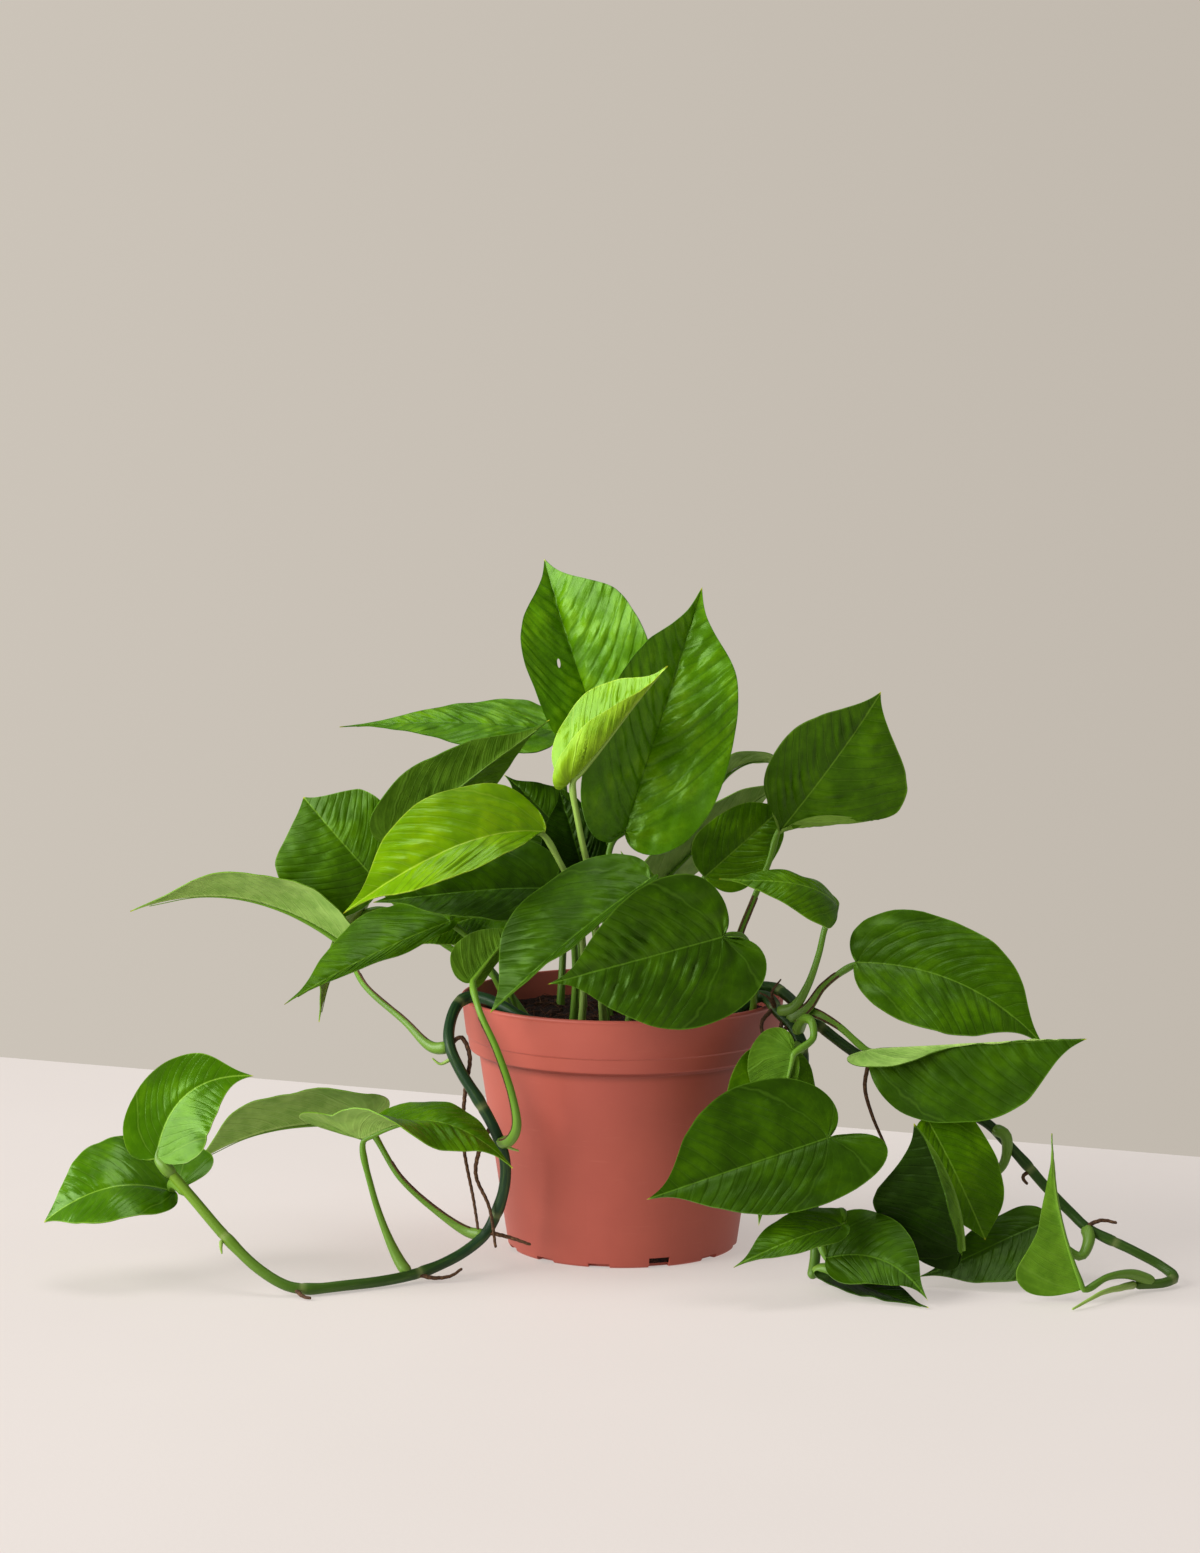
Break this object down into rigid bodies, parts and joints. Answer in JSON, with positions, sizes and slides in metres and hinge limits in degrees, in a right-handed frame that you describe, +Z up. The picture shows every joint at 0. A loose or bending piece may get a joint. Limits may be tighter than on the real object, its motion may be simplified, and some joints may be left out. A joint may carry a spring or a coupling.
{
  "type": "potted jade pothos",
  "caption": "Bushy green pothos with heart-shaped leaves in a tapered plastic nursery pot, trailing vines lying on the surface beside it.",
  "frame": {"origin": "centre of the pot's flat underside, on the surface that the pot stands on", "axes": "+Z up along the pot's axis, +X to the right and -Y towards the viewer in the picture, so the vines trail to -X and +X in front of the pot"},
  "size_m": [0.5104, 0.2113, 0.3202],
  "materials": {
    "pot_plastic": "semi-matte terracotta-coloured plastic",
    "soil": "matte, crumbly peat and coir",
    "vine": "smooth, slightly waxy",
    "leaf": "glossy above, matte and paler below",
    "young_leaf": "glossy, fresh yellow-green"
  },
  "bodies": {
    "root": {"nursery_pot": "pot_plastic", "soil": "soil", "vine_left": "vine", "vine_right": "vine", "vine_middle": "vine", "leaf_crown_back": "leaf", "leaf_crown_tall": "leaf", "leaf_crown_young": "young_leaf", "leaf_left_high": "leaf", "leaf_left_inward": "leaf", "leaf_left_bright": "young_leaf", "leaf_left_round": "leaf", "leaf_left_far": "leaf", "leaf_left_low": "leaf", "leaf_left_hanging": "leaf", "leaf_left_under": "leaf", "leaf_inner_left": "leaf", "leaf_inner_dark": "leaf", "leaf_front_left": "leaf", "leaf_front_round": "leaf", "leaf_front_stem": "leaf", "leaf_left_inner_low": "leaf", "leaf_right_inner": "leaf", "leaf_right_high": "leaf", "leaf_right_back": "leaf", "leaf_right_behind": "leaf", "leaf_inner_small": "leaf", "leaf_right_small": "leaf", "leaf_right_upper": "leaf", "leaf_right_lower": "leaf", "leaf_middle_front": "leaf", "leaf_middle_pale": "leaf", "leaf_middle_behind": "leaf", "leaf_right_folded": "leaf", "leaf_right_drooping": "leaf", "leaf_right_floor": "leaf", "leaf_right_upright": "leaf", "leaf_middle_small": "leaf", "leaf_middle_floor": "leaf", "leaf_middle_lowest": "leaf", "leaf_vine_tip_upright": "young_leaf", "leaf_vine_tip_low": "young_leaf", "leaf_vine_arching": "leaf", "leaf_vine_middle": "leaf", "leaf_rolled_tip": "young_leaf"}
  },
  "joints": []
}
